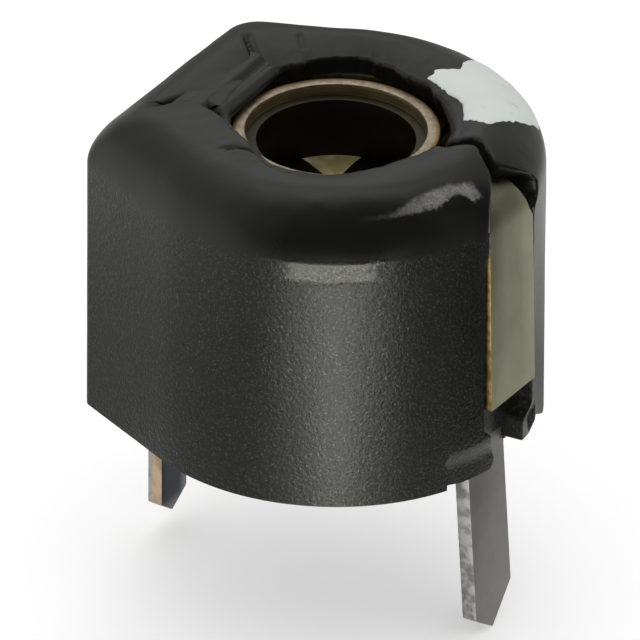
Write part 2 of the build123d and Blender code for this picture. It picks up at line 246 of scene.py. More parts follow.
def rim_surface(stations, way):
    """Points of the rim. The way runs over the fold from 0 to 1, the rim to 2 and the lip's edge to 3."""
    signed = from_groove(stations[1])
    front = span(signed, *SLANTED)
    start = SLANT * front
    fold = start + (pi / 2 - start) * np.clip(way, 0, 1)
    inset = FOLD_RADIUS * (1 - np.cos(fold) / np.cos(start))
    corner = WALL_CORNER + (RIM_CORNER - WALL_CORNER) * ease(way, 0, 1)
    plan, normal = outline(stations, inset, corner)
    reach = np.linalg.norm(plan, axis=1)
    heading = plan / reach[:, None]
    angle = np.degrees(np.arctan2(heading[:, 1], heading[:, 0])) % 360
    edge = LIP_ROUNDING - SHARPER_BACK * span(angle, *SHARP_BACK) - SHARPER_LEFT * span(angle, *SHARP_LEFT)
    beside_split = ease(signed, 3, 12) * (signed > 0) * (signed < 40)
    lip_height = LIP_HEIGHT + LIP_RISE * ease(angle, 165, 190) * (1 - beside_split)
    lip = lip_radius(angle)
    across = np.clip(way - 1, 0, 1)
    round_off = np.clip(way - 2, 0, 1) * pi / 2
    radius = reach + (lip + edge - reach) * across - edge * np.sin(round_off) * (way > 2)
    height = WALL_TOP + FOLD_RADIUS * (np.sin(fold) - np.sin(start)) / (1 - np.sin(start))
    height = height - (WALL_TOP + FOLD_RADIUS - lip_height) * across ** 2 - edge * (1 - np.cos(round_off))
    out_share = np.cos(fold) * (way < 1) - np.sin(round_off)
    up_share = np.where(way < 1, np.sin(fold), np.cos(round_off))
    point = np.column_stack([heading * radius[:, None], height])
    facing = np.column_stack([normal * out_share[:, None], up_share])
    strength = ease(way, 0.0, 0.6)
    near_lip = ease(way, 1.0, 1.9)
    lift = 0.018 * strength * waves(point, 1.5, 1) + 0.003 * strength * waves(point, 0.45, 2)
    lift += (0.0005 + 0.002 * near_lip) * strength * waves(point, 0.25, 3)
    lift -= LEAN * front * (1 - ease(way, 0, 0.25))
    lift += crease_relief(point[:, :2]) * span(way, (0.4, 0.8), (2.2, 3))
    return point + facing * lift[:, None], facing


def stations_around():
    """Stations round to the groove's left edge, in two halves: kind 0 round, 1 flat, 2 corner."""
    near = np.degrees(np.array(EDGE_STEPS) / BODY_RADIUS)
    arc = np.concatenate([GROOVE_EDGE + near, np.linspace(GROOVE_EDGE + near[-1], 180 - FLAT_ANGLE, 146)[1:]])
    side = [(0, a, 0) for a in arc]
    side += [(1, 180 - FLAT_ANGLE, f) for f in np.linspace(0, 0.975, 46)[1:]]
    side += [(2, a, 0) for a in np.linspace(180 - FLAT_ANGLE, 180, 20)]
    side += [(1, 180, f) for f in np.linspace(-0.975, -SLOT_HALF / FLAT_HALF, 34)]
    other = [(kind, 360 - turn, -share) for kind, turn, share in reversed(side)]
    return side, other


def band_faces(rows, around):
    """Quads between rows of points that each run round in a ring."""
    faces = []
    for low in range(rows - 1):
        for left in range(around):
            right = (left + 1) % around
            faces.append((low * around + left, low * around + right,
                          (low + 1) * around + right, (low + 1) * around + left))
    return faces


def capped_faces(rows, around):
    """Quads between rows of points in rings, with one face over each end."""
    first = tuple(reversed(range(around)))
    last = tuple((rows - 1) * around + i for i in range(around))
    return band_faces(rows, around) + [first, last]


def housing_mesh():
    """Vertices and faces of the housing, in mm, as a grid of rows from the underside up and down the bore."""
    side, other = stations_around()
    rear = [(1, 180, y / FLAT_HALF) for y in np.linspace(-SLOT_FLOOR_HALF, SLOT_FLOOR_HALF, 14)]
    stations = np.array(side + rear + other).T
    count = stations.shape[1]
    rear_columns = np.arange(len(side), len(side) + len(rear))
    rows = []

    def add(plan, height, floor_x=None, depth=0.0, normal=(1, 0)):
        """One row: the outside stations, then the front groove's floor from its left to its right edge."""
        row = np.column_stack([plan, height * np.ones(count)])
        left, right = row[-1], row[0]
        turns = [np.arctan2(end[1], end[0]) for end in (left, right)]
        radii = [np.hypot(end[0], end[1]) for end in (left, right)]
        floor = []
        for share in FLOOR_SHARES:
            y, level = left[1:] + (right[1:] - left[1:]) * share
            if floor_x is not None:
                floor.append((floor_x, y, level))
            else:
                turn = turns[0] + (turns[1] - turns[0]) * share
                radius = radii[0] + (radii[1] - radii[0]) * share - depth * normal[0]
                floor.append((radius * cos(turn), radius * sin(turn), level - depth * normal[1]))
        rows.append(np.vstack([row, floor]))

    def wall_row(level, shrink=0.0):
        """One row up the outside of the wall, with the unevenness that the tool and the staking leave."""
        left, right = table(level, SPLIT_HEIGHTS, 1), table(level, SPLIT_HEIGHTS, 2)
        placed = moved(stations, left, right)
        signed = from_groove(placed[1])
        height = np.maximum(level, table(signed, FOOT) + 0.002 * len(rows))
        in_lugs = (signed > LUG_ANGLES[0]) & (signed < LUG_ANGLES[1])
        setback = LUG_SETBACK * in_lugs * (1 - ease(height, *LUG_TOP))
        lean = LEAN * np.clip((height - LEAN_FROM) / (WALL_TOP - LEAN_FROM), 0, 1) * span(signed, *SLANTED)
        plan, normal = outline(placed, shrink + 0 * signed, WALL_CORNER + 0 * signed)
        plan -= normal * setback[:, None]
        point = np.column_stack([plan, height])
        uneven = 0.003 * waves(point, 1.6, 11) * (1 - ease(height, 3.4, 3.84)) - lean
        from_edge = np.radians(np.minimum(np.abs(signed - left), np.abs(signed - right))) * BODY_RADIUS
        drop = edge_drop(from_edge, table(level, WALL_ROUNDING))
        uneven -= drop * (placed[0] == 0) * (np.abs(signed) < 20)
        plan += normal * uneven[:, None]
        if level < SLOT_TOP:
            plan[rear_columns, 0] = SLOT_FLOOR_X
        floor_x = PLATE_SEAT_X if level > PLATE_FOOT else RECESS_X
        add(plan, height, floor_x=THROAT_X if level < THROAT_TOP else floor_x)

    def rim_row(way):
        """One row over the fold, the rim or the lip's edge, with the split's edges rounded."""
        if way <= 1:
            split_value, split_table = WALL_TOP + FOLD_RADIUS * sin(way * pi / 2), SPLIT_HEIGHTS
        else:
            split_value, split_table = RIM_RADIUS + (SPLIT_END - RIM_RADIUS) * min(way - 1, 1), SPLIT_RADII
        left, right = table(split_value, split_table, 1), table(split_value, split_table, 2)
        placed = moved(stations, left, right)
        point, facing = rim_surface(placed, np.full(count, float(way)))
        signed = from_groove(placed[1])
        reach = np.hypot(point[:, 0], point[:, 1])
        to_left, to_right = (np.radians(np.abs(signed - end)) * reach for end in (left, right))
        drop = edge_drop(to_left, RIM_ROUNDING[0]) * (signed <= left + 0.01)
        drop += edge_drop(to_right, RIM_ROUNDING[1]) * (signed >= right - 0.01)
        point -= facing * (drop * (placed[0] == 0))[:, None]
        turn = (way if way <= 1 else max(way - 1, 1)) * pi / 2
        add(point[:, :2], point[:, 2], depth=float(table(way, TRENCH)), normal=(cos(turn), sin(turn)))

    base, _ = outline(moved(stations, *SPLIT_FOOT), np.zeros(count), np.full(count, WALL_CORNER))
    signed = from_groove(stations[1])
    lugs = (signed > LUG_ANGLES[0]) & (signed < -LUG_ANGLES[0]) & (stations[0] == 0)
    inner = base * UNDERSIDE_SHARE
    inner[lugs, 0] = LUG_ROOT_X
    inner[lugs, 1] = base[lugs, 1]
    inner[rear_columns, 0] = SLOT_FLOOR_X + 0.02
    add(inner * 0.97, 0.0, floor_x=THROAT_X - 0.05)
    add(inner, 0.0, floor_x=THROAT_X - 0.01)
    add(inner, table(signed, FOOT) * lugs, floor_x=THROAT_X)
    wall_row(0.0, 0.03)
    for level in WALL_LEVELS:
        wall_row(level)
    for way in (*np.linspace(0, 1, 36), *np.linspace(1, 2, 30)[1:], *np.linspace(2, 3, 9)[1:]):
        rim_row(way)
    last = rows[-1][:count]
    reach = np.hypot(last[:, 0], last[:, 1])[:, None]
    heading = last[:, :2] / reach
    under = np.maximum(reach + 0.06, 1.49)
    for radius, level in ((under, LIP_UNDERSIDE), (under, LIP_FOOT), (2.0, LIP_FOOT),
                          (CAVITY_RADIUS, LIP_FOOT), (CAVITY_RADIUS, 3.0), (CAVITY_RADIUS, CAVITY_FLOOR)):
        add(heading * radius, level, depth=0.02, normal=(-1, 0))
    return np.vstack(rows), capped_faces(len(rows), len(rows[0]))


class Wire:
    """A value in a material's node tree. Arithmetic on it adds Math nodes."""

    def __init__(self, finish, socket):
        self.finish, self.socket = finish, socket

    def __add__(self, other):
        return self.finish.math("ADD", self, other)

    def __sub__(self, other):
        return self.finish.math("SUBTRACT", self, other)

    def __rsub__(self, other):
        return self.finish.math("SUBTRACT", other, self)

    def __mul__(self, other):
        return self.finish.math("MULTIPLY", self, other)

    def __pow__(self, other):
        return self.finish.math("POWER", self, other)

    __radd__, __rmul__ = __add__, __mul__


class Finish:
    """A material while it is put together, around one Principled shader."""

    def __init__(self, name, **sockets):
        self.material = bpy.data.materials.new(name)
        self.material.use_nodes = True
        self.tree = self.material.node_tree
        self.shader = self.tree.nodes["Principled BSDF"]
        self.set(**sockets)

    def set(self, **sockets):
        """Sets or links the shader's sockets, named with underscores."""
        for name, value in sockets.items():
            self.feed(self.shader.inputs[name.replace("_", " ")], value)

    def feed(self, socket, value):
        """Links a socket to a value of the node tree, or sets it to a number, vector or colour."""
        if isinstance(value, Wire):
            self.tree.links.new(value.socket, socket)
        elif isinstance(value, tuple) and len(value) == 3 and len(socket.default_value) == 4:
            socket.default_value = (*value, 1)
        else:
            socket.default_value = value

    def node(self, kind, settings=None, inputs=None, output=0):
        """Adds a node from its type, its settings and its inputs, and gives back one output."""
        node = self.tree.nodes.new("ShaderNode" + kind)
        for name, value in (settings or {}).items():
            setattr(node, name, value)
        for name, value in (inputs or {}).items():
            self.feed(node.inputs[name], value)
        return Wire(self, node.outputs[output])

    def math(self, operation, *values):
        """Result of one operation on values or numbers."""
        return self.node("Math", {"operation": operation}, dict(enumerate(values)))

    def place(self):
        """Object coordinates, which the part's own frame gives in metres."""
        return self.node("TexCoord", output="Object")

    def facing(self):
        """Direction that the surface faces, in the part's own frame."""
        return self.node("TexCoord", output="Normal")

    def axes(self, vector, names):
        """The named components of a vector, as a list of values."""
        return [self.node("SeparateXYZ", {}, {"Vector": vector}, name) for name in names]

    def noise(self, size, detail=2.0, roughness=0.5):
        """Noise of about 0 to 1 with features of a size in mm."""
        inputs = {"Vector": self.place(), "Scale": 1 / (size * MM), "Detail": detail, "Roughness": roughness}
        return self.node("TexNoise", {}, inputs, "Fac")

    def between(self, value, low, high):
        """0 to 1 as a value rises from low to high."""
        inputs = {"Value": value, "From Min": low, "From Max": high}
        return self.node("MapRange", {"interpolation_type": "SMOOTHSTEP"}, inputs)

    def reached(self, length, low, high):
        """0 to 1 as a length rises between two lengths in mm."""
        return self.between(length, low * MM, high * MM)

    def turned(self, angle, low, high):
        """0 to 1 as an angle rises between two angles in degrees."""
        return self.between(angle, radians(low), radians(high))

    def mix(self, share, first, second):
        """Colour that goes from first to second with a share."""
        inputs = {0: share, 6: first, 7: second}
        return self.node("Mix", {"data_type": "RGBA"}, inputs, 2)

    def bump(self, height, depth, below=None):
        """Normal from a height of 0 to 1 that stands for a depth in mm."""
        inputs = {"Strength": 1.0, "Distance": depth * MM, "Height": height}
        if below is not None:
            inputs["Normal"] = below
        return self.node("Bump", {}, inputs)


def linked(name, data):
    """A new object with its data, linked into the scene."""
    thing = bpy.data.objects.new(name, data)
    bpy.context.scene.collection.objects.link(thing)
    return thing


def face_outward(mesh):
    """Turns the faces of a mesh outward."""
    work = bmesh.new()
    work.from_mesh(mesh)
    bmesh.ops.recalc_face_normals(work, faces=work.faces)
    work.to_mesh(mesh)
    work.free()


def add_piece(name, vertices, faces, finish, body, slot, node, smooth=35):
    """Puts a mesh in mm into the scene as one piece, on its body, in place of a CAD node."""
    mesh = bpy.data.meshes.new(name)
    mesh.from_pydata((np.asarray(vertices) * MM).tolist(), [], faces)
    mesh.validate()
    face_outward(mesh)
    mesh.shade_smooth()
    mesh.set_sharp_from_angle(angle=radians(smooth))
    mesh.materials.append(finish.material)
    piece = linked(name, mesh)
    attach(piece, body)
    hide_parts(node)
    return piece


# Heights and angles over which the tool's finish sets in on the rim, and over which it begins and ends where
# the tool pressed on the front of the wall
TOOLED_HEIGHTS = (3.76, 3.94)
PRESSED_HEIGHTS, POLISHED_TO = (3.49, 3.60), (4.10, 4.40)
PRESSED_FROM, PRESSED_TO = (-80, -71), (-49, -40)

# Painted highlight: a pale streak on the front of the rim, by angle, height and distance from the axis
PAINTED_STREAK_FROM, PAINTED_STREAK_TO = (-54, -24), (-13, -10)
PAINTED_STREAK_HEIGHTS, PAINTED_STREAK_INNER, PAINTED_STREAK_OUTER = (4.1, 4.2), (2.57, 2.65), (2.61, 2.66)

BLACK, BLACK_WORN, SPARKLE = (0.006, 0.006, 0.005), (0.009, 0.009, 0.008), (0.085, 0.085, 0.078)
PAINTED_SHEEN, PAINTED_SHEEN_PALE = (0.09, 0.09, 0.09), (0.20, 0.195, 0.19)


def painted_highlight_patch(plastic, angle, radius, height):
    """Share of the painted highlight, in a band that narrows to its left and wanders at its edges."""
    jagged = plastic.noise(0.07, 4.0, 0.7) - 0.5
    reach = radius + jagged * (0.10 * MM)
    narrowed = plastic.turned(angle, -44, -26) * (0.18 * MM)
    widened = plastic.turned(angle, -20, -12) * (0.09 * MM)
    notched = plastic.turned(angle, -27, -20) * (0.06 * MM)
    lowered = plastic.turned(angle, -18, -14) * (0.14 * MM)
    ends = angle + jagged * 0.06
    patch = plastic.turned(ends, *PAINTED_STREAK_FROM) * (1 - plastic.turned(ends, *PAINTED_STREAK_TO))
    patch = patch * plastic.reached(reach + narrowed - widened, *PAINTED_STREAK_INNER)
    patch = patch * (1 - plastic.reached(reach + notched - lowered, *PAINTED_STREAK_OUTER))
    return patch * plastic.reached(height, *PAINTED_STREAK_HEIGHTS)


def black_plastic():
    """Grainy wall below, smoother and glossier where the hot tool has been, with a painted highlight on the
    fold's front.
    """
    plastic = Finish("black_plastic", IOR=1.5, Specular_IOR_Level=0.35, Specular_Tint=(1.0, 1.0, 0.90))
    x, y, height = plastic.axes(plastic.place(), "XYZ")
    angle = plastic.math("ARCTAN2", y, x)
    wander = plastic.noise(0.25, 3.0) - 0.5
    jagged = plastic.noise(0.07, 4.0, 0.7) - 0.5
    tooled = plastic.reached(height + wander * (0.20 * MM), *TOOLED_HEIGHTS)
    ends = angle + jagged * 0.25
    pressed = plastic.reached(height + jagged * (0.16 * MM), *PRESSED_HEIGHTS)
    pressed = pressed * plastic.turned(ends, *PRESSED_FROM) * (1 - plastic.turned(ends, *PRESSED_TO))
    polished = pressed * (1 - plastic.reached(height, *POLISHED_TO))
    painted_highlight = painted_highlight_patch(plastic, angle, (x * x + y * y) ** 0.5, height)
    patches, pores = plastic.noise(1.1, 2.0), plastic.noise(0.22, 3.0, 0.55)
    grain, fine = plastic.noise(0.055, 2.0, 0.65), plastic.noise(0.03, 3.0, 0.7)
    blotch = plastic.between(plastic.noise(0.11, 2.0), 0.25, 0.60)
    speck = plastic.between(plastic.noise(0.034, 3.0, 0.8), 0.55, 0.66) * (1 - tooled)
    dark = plastic.mix(speck, plastic.mix(patches, BLACK, BLACK_WORN), SPARKLE)
    painted_sheen = plastic.mix(plastic.between(fine, 0.25, 0.75), PAINTED_SHEEN, PAINTED_SHEEN_PALE)
    # Painted highlight: the streak on the front of the fold is turned pale grey in the base colour
    plastic.set(Base_Color=plastic.mix(painted_highlight * (0.50 + 0.50 * blotch), dark, painted_sheen), Metallic=0.7 * speck)
    rough = 0.31 + 0.03 * tooled - 0.10 * polished + 0.06 * (patches - 0.5) + 0.15 * painted_highlight
    wall = plastic.bump(grain * (1 - 0.7 * pressed), 0.010)
    rim = plastic.bump(pores, 0.004, plastic.bump(fine, 0.0010))
    normal = plastic.node("Mix", {"data_type": "VECTOR"}, {"Factor": tooled, 4: wall, 5: rim}, 1)
    plastic.set(Roughness=rough, Normal=normal)
    return plastic


add_piece("moulded_housing", *housing_mesh(), black_plastic(), "case", "black_plastic", "housing")


# Colour dot
# A dab of white paint brushed on the rim by hand, which codes the capacitance range. It is thin and ragged
# at the edge, and it thins out towards the lip.

# Centre and outline of the patch, as angles from the groove and ways over the rim
PAINT_CENTRE = (48.0, 1.15)
PAINT_EDGE = (
    (28.0, 1.93), (35.5, 1.91), (42.5, 1.86), (48.0, 1.86), (53.0, 1.93), (57.0, 1.80), (61.0, 1.90),
    (66.0, 1.96), (71.0, 1.93), (72.5, 1.58), (69.5, 1.29), (66.0, 1.02), (70.5, 0.88), (72.5, 0.68),
    (70.0, 0.50), (65.0, 0.42), (60.0, 0.40), (52.0, 0.34), (45.0, 0.29), (40.0, 0.27), (36.5, 0.32),
    (31.5, 0.54), (28.5, 0.70), (27.0, 0.81), (23.0, 0.95), (24.0, 1.19), (24.5, 1.40), (26.0, 1.70),
)
PAINT_DEPTH, PAINT_LIFT, PAINT_SUNK = 0.022, 0.002, 0.02
PAINT, PAINT_PALE, PAINT_THIN = (0.54, 0.58, 0.55), (0.60, 0.63, 0.59), (0.25, 0.26, 0.25)


def paint_mesh():
    """Closed skin over the patch: its top follows the rim, and its edge thins down into it."""
    edge = np.array(PAINT_EDGE)
    steps = np.linspace(0, len(edge), 360, endpoint=False)
    ring = np.column_stack([np.interp(steps, np.arange(len(edge) + 1), np.append(edge[:, i], edge[0, i]))
                            for i in (0, 1)])
    for _ in range(3):
        ring = (np.roll(ring, 1, 0) + 2 * ring + np.roll(ring, -1, 0)) / 4
    turn = steps / len(edge) * 2 * pi
    around = np.column_stack([np.cos(turn), np.sin(turn), 0 * turn])
    ragged = 1 + 0.035 * waves(around, 0.5, 21) + 0.02 * waves(around, 0.16, 22)
    centre = np.array(PAINT_CENTRE)
    layers = []
    shares = np.append(np.linspace(0.04, 0.97, 26), 1.0)
    for side, reach in [(1, s) for s in shares] + [(-1, s) for s in shares[::-1]]:
        spot = centre + (ring - centre) * (ragged * reach)[:, None]
        spot[:, 1] = np.clip(spot[:, 1], 0.02, 1.97)
        stations = np.zeros(len(spot)), spot[:, 0], np.zeros(len(spot))
        point, facing = rim_surface(stations, spot[:, 1])
        depth = PAINT_DEPTH * np.sqrt(np.clip(1 - reach ** 6, 0, 1)) * (1 + 0.25 * waves(point, 0.35, 23))
        rise = depth + PAINT_LIFT if side > 0 else np.full(len(spot), -PAINT_SUNK)
        layers.append(point + facing * rise[:, None])
    return np.vstack(layers), capped_faces(len(layers), len(ring))


def white_paint():
    """Matt off-white paint, a little grey where it is thin."""
    paint = Finish("white_paint")
    thin = paint.between(paint.noise(0.18, 3.0, 0.6), 0.62, 0.78)
    cloud = paint.noise(0.6, 2.0)
    body = paint.mix(cloud, PAINT, PAINT_PALE)
    paint.set(Base_Color=paint.mix(thin * 0.35, body, PAINT_THIN), Roughness=0.42 + 0.2 * cloud)
    paint.set(Normal=paint.bump(paint.noise(0.12, 3.0), 0.012))
    return paint


add_piece("paint_dab", *paint_mesh(), white_paint(), "case", "white_paint", "colour_dot", smooth=60)


# Terminals
# Both are blanked from one gauge of brass sheet that was tinned before it was cut, so the faces are dull
# tin and the cut edges show brass. The front one is bent out over the stack and down in the groove.

SHEET = 0.23
BURR = 0.018
APEX_SHARE = -0.06
POINT_TOP = -2.1

# Front terminal: the plate in the groove, its bend, the neck beside it, the ring, the joggle and the lead
PLATE_HALF, PLATE_FOOT_X, INNER_HALF = 0.57, 2.79, 0.2
ARM_X, ARM_Z, BEND_X, BEND_RADIUS = 2.04, 4.145, 2.72, 0.42
SHOULDER_Z = 3.60
NECK = ((SHOULDER_Z, PLATE_HALF), (3.74, 0.48), (ARM_Z, 0.31))
RING_IN, RING_OUT, RING_PARTS = 1.72, 2.27, 96
JOGGLE_Z, JOGGLE_START, JOGGLE_RADII = PLATE_FOOT + SHEET / 2, PLATE_FOOT_X - 0.02, (0.13, 0.46)
LEAD_X, LEAD_HALF, LEAD_TIP, LEAD_SLANTS = 2.355, 0.47, -2.74, (34, 44)
SPLAY_FROM, SPLAY = -SHEET / 2, tan(radians(3.8))

# Rear terminal, with a slit for the tab of each stator plate
REAR_X, REAR_HALF, REAR_TIP, REAR_TOP, REAR_SLANTS = -2.725, 0.33, -2.52, 2.84, (36, 32)
STATORS, STATOR_PITCH, STATOR_SHEET = 4, 0.44, 0.12
SLIT_HALF, SLIT_CLEARANCE = 0.19, 0.01

# Heights above which the plate's cut edges show bare brass, how far out the rear strip's do, and the side and
# the foot of the rear lead's inner face, which painted light makes paler
BARE_ABOVE, STRIP_EDGE = (0.93, 1.05), (-2.76, -2.72)
PAINTED_LIGHT_SIDE, PAINTED_LIGHT_FOOT = (0.10, 0.30), (-2.48, -2.24)

# Tin where it is plain and where the lead was worked, painted shade on the rear lead's inner face with a rim
# of painted light, and the cut edges
TIN, TIN_PALE = (0.37, 0.365, 0.255), (0.42, 0.415, 0.29)
WORKED_TIN, WORKED_PALE = (0.22, 0.215, 0.20), (0.27, 0.265, 0.25)
SHEARED_DARK, SHEARED_PALE = (0.20, 0.197, 0.187), (0.42, 0.413, 0.392)
PAINTED_SHADE_INNER, PAINTED_SHADE_INNER_PALE, PAINTED_LIGHT_INNER_RIM = (0.030, 0.036, 0.044), (0.065, 0.070, 0.080), (0.20, 0.20, 0.205)
EDGE_DARK, EDGE_BRASS = (0.13, 0.085, 0.022), (0.30, 0.205, 0.08)
WASHED_DARK, WASHED_BRASS = (0.34, 0.28, 0.17), (0.56, 0.39, 0.26)


def settle(piece):
    """Replaces a piece's mesh by what its modifiers make of it, and drops them."""
    bpy.context.view_layer.update()
    piece.data = bpy.data.meshes.new_from_object(piece.evaluated_get(bpy.context.evaluated_depsgraph_get()))
    piece.modifiers.clear()


def sheet_piece(name, quads, finish, node):
    """Sheet metal from a middle surface of quads in mm: thickened both ways, with its cut edges dulled."""
    mesh = bpy.data.meshes.new(name)
    points = {}
    faces = [[points.setdefault(tuple(round(c, 5) for c in p), len(points)) for p in quad] for quad in quads]
    mesh.from_pydata([tuple(c * MM for c in p) for p in points], [], faces)
    face_outward(mesh)
    piece = linked(name, mesh)
    thick = piece.modifiers.new("thick", "SOLIDIFY")
    thick.thickness = SHEET * MM
    thick.offset = 0
    thick.use_even_offset = True
    dull = piece.modifiers.new("dull", "BEVEL")
    dull.width = BURR * MM
    dull.segments = 2
    dull.angle_limit = radians(50)
    settle(piece)
    piece.data.shade_smooth()
    piece.data.set_sharp_from_angle(angle=radians(40))
    piece.data.materials.append(finish.material)
    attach(piece, "case")
    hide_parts(node)


def bent(points, radii, steps=10):
    """Path in the XZ plane through points, with round bends of the given radii, as a list of (x, z)."""
    points = [Vector(p) for p in points]
    path = [points[0]]
    for before, corner, after, radius in zip(points, points[1:], points[2:], radii):
        into, out = (before - corner).normalized(), (after - corner).normalized()
        half = into.angle(out) / 2
        centre = corner + (into + out).normalized() * (radius / sin(half))
        start, end = corner + into * (radius / tan(half)), corner + out * (radius / tan(half))
        first, last = start - centre, end - centre
        turn = first.angle_signed(last)
        for number in range(steps + 1):
            spin = Matrix.Rotation(-turn * number / steps, 2)
            path.append(centre + spin @ first)
    return path + [points[-1]]


def ribbon(path, breaks, half_at=None):
    """Quads of a strip along a path in the XZ plane, split at the breaks. half_at can move the last break."""
    rows = []
    for x, z in path:
        half = half_at(z) if half_at else breaks[-1]
        rows.append([(x, y, z) for y in (*breaks[:-1], half)])
    return [(low[i], low[i + 1], high[i + 1], high[i])
            for low, high in zip(rows, rows[1:]) for i in range(len(breaks) - 1)]


def pointed(x_of, breaks, tip, apex, slants):
    """Quads of the end of a lead across its breaks, down to an off-centre point with slanted sides."""
    def edge(y):
        level = tip + abs(y - apex) * tan(radians(slants[0] if y < apex else slants[1]))
        return x_of(level), y, level

    return [((x_of(POINT_TOP), y0, POINT_TOP), (x_of(POINT_TOP), y1, POINT_TOP), edge(y1), edge(y0))
            for y0, y1 in zip(breaks, breaks[1:])]


def tinned_brass():
    """Dull tin on the faces, with brass on the cut edges, and painted shade on the rear lead's inner face
    with painted light along its side and foot.
    """
    metal = Finish("tinned_brass", Metallic=1.0)
    outward, across = metal.axes(metal.facing(), "XY")
    x, y, z = metal.axes(metal.place(), "XYZ")
    cloud, fine = metal.noise(0.7, 3.0), metal.noise(0.06, 3.0, 0.6)
    streak, blotch = metal.noise(0.12, 3.0, 0.6), metal.noise(0.20, 3.0, 0.6)
    wander = metal.noise(0.25) * (0.05 * MM)
    across = metal.math("ABSOLUTE", across)
    patches = metal.between(cloud, 0.3, 0.7)
    at_rear = 1 - metal.reached(x, -1.0, 0.0)
    strip = metal.reached(x + wander, *STRIP_EDGE) * at_rear
    bare = metal.reached(z + wander, *BARE_ABOVE)
    cut = metal.between(across + 0.15 * (fine - 0.5), 0.45, 0.75) * metal.math("MAXIMUM", strip, bare)
    sheared = metal.mix(metal.between(blotch, 0.38, 0.62), SHEARED_DARK, SHEARED_PALE)
    lead = metal.mix(metal.between(across, 0.45, 0.75), metal.mix(patches, WORKED_TIN, WORKED_PALE), sheared)
    # Painted light: the side and the foot of the rear lead's inner face are made paler
    rim = metal.math("MAXIMUM", metal.reached(y, *PAINTED_LIGHT_SIDE), 1 - metal.reached(z, *PAINTED_LIGHT_FOOT))
    # Painted shade: the rear lead's inner face is darkened, inside that rim of painted light
    inner = metal.mix(rim, metal.mix(cloud, PAINTED_SHADE_INNER, PAINTED_SHADE_INNER_PALE), PAINTED_LIGHT_INNER_RIM)
    lead = metal.mix(metal.between(outward, 0.6, 0.9) * at_rear, lead, inner)
    tinned = metal.mix(bare, lead, metal.mix(patches, TIN, TIN_PALE))
    edge = metal.mix(metal.between(streak, 0.35, 0.65), EDGE_DARK, EDGE_BRASS)
    washed = metal.mix(metal.between(blotch, 0.35, 0.65), WASHED_DARK, WASHED_BRASS)
    brass = metal.mix(at_rear, edge, washed)
    metal.set(Base_Color=metal.mix(cut, tinned, brass), Roughness=0.54 + 0.10 * fine - 0.14 * cut)
    metal.set(Normal=metal.bump(fine * 0.5 + streak * 0.5, 0.004))
    return metal


def front_x(z):
    """Middle of the front lead, which splays out below the board."""
    return LEAD_X + max(SPLAY_FROM - z, 0) * SPLAY


def rear_x(z):
    """Middle of the rear lead, which is straight at every level."""
    return REAR_X


def arm_half(z):
    """Half width of the strip on its free side, where it is necked down as it bends over the stack."""
    return float(table(z, NECK))


tin = tinned_brass()
arm = bent([(ARM_X, ARM_Z), (BEND_X, ARM_Z), (PLATE_FOOT_X, PLATE_FOOT)], [BEND_RADIUS])
shoulder_x = PLATE_FOOT_X + (BEND_X - PLATE_FOOT_X) * (SHOULDER_Z - PLATE_FOOT) / (ARM_Z - PLATE_FOOT)
arm.insert(-1, Vector((shoulder_x, SHOULDER_Z)))
front_quads = ribbon(arm, (-PLATE_HALF, -INNER_HALF, INNER_HALF, PLATE_HALF), arm_half)
for number in range(RING_PARTS):
    a, b = (2 * pi * (number + i) / RING_PARTS for i in (0, 1))
    corners = ((RING_IN, a), (RING_OUT, a), (RING_OUT, b), (RING_IN, b))
    front_quads.append(tuple((r * cos(t), r * sin(t), ARM_Z) for r, t in corners))
lead = bent([(JOGGLE_START, JOGGLE_Z), (LEAD_X, JOGGLE_Z), (LEAD_X, SPLAY_FROM),
             (front_x(POINT_TOP), POINT_TOP)], JOGGLE_RADII, 6)
front_apex = APEX_SHARE * 2 * LEAD_HALF
front_breaks = (-LEAD_HALF, front_apex, LEAD_HALF)
front_quads += ribbon(lead, front_breaks)
front_quads += pointed(front_x, front_breaks, LEAD_TIP, front_apex, LEAD_SLANTS)
sheet_piece("rotor_terminal", front_quads, tin, "front_terminal")

slits = []
for number in range(STATORS):
    stator_foot = CAVITY_FLOOR + number * STATOR_PITCH
    slits.append((stator_foot - SLIT_CLEARANCE, stator_foot + STATOR_SHEET + SLIT_CLEARANCE))
rear_levels = [POINT_TOP, 0.0] + [z for slit in slits for z in slit] + [REAR_TOP]
rear_apex = APEX_SHARE * 2 * REAR_HALF
rear_breaks = (-REAR_HALF, -SLIT_HALF, rear_apex, SLIT_HALF, REAR_HALF)
rear_quads = []
for low, high in zip(rear_levels, rear_levels[1:]):
    for y0, y1 in zip(rear_breaks, rear_breaks[1:]):
        if (low, high) not in slits or abs(y0 + y1) > 2 * SLIT_HALF:
            rear_quads.append(((REAR_X, y0, low), (REAR_X, y1, low), (REAR_X, y1, high), (REAR_X, y0, high)))
rear_quads += pointed(rear_x, rear_breaks, REAR_TIP, rear_apex, REAR_SLANTS)
sheet_piece("stator_terminal", rear_quads, tin, "rear_terminal")


# Rotor
# Turned from brass and left bare, so it is tarnished. Its head is a ring with a deep well, and the well's
# conical floor carries the cross slot for the trimming tool.

JOURNAL_RADIUS, JOURNAL_FOOT, JOURNAL_TOP = 0.45, 0.75, 1.36
ARBOR_RADIUS, ARBOR_TOP, HUB_RADIUS = 0.62, 2.85, 1.40
FLANGE_RADIUS, FLANGE_FOOT, FLANGE_TOP = 1.93, 3.46, 3.71
HEAD_RADIUS, MOUTH_RADIUS, WELL_RADIUS = 1.44, 1.26, 1.10
HEAD_TOP, LEDGE, WELL_FLOOR, WELL_CENTRE = 4.36, 4.20, 3.32, 3.18
CHAMFER, HEAD_CHAMFER, MOUTH_CHAMFER = 0.02, 0.035, 0.005
SLOT_LENGTH, SLOT_WIDTH, SLOT_DEPTH, SLOT_ANGLE = 2.12, 0.34, 0.34, 80
WORN_LENGTH, WORN_WIDTH, WORN_DEPTH = 2.24, 0.86, 0.33

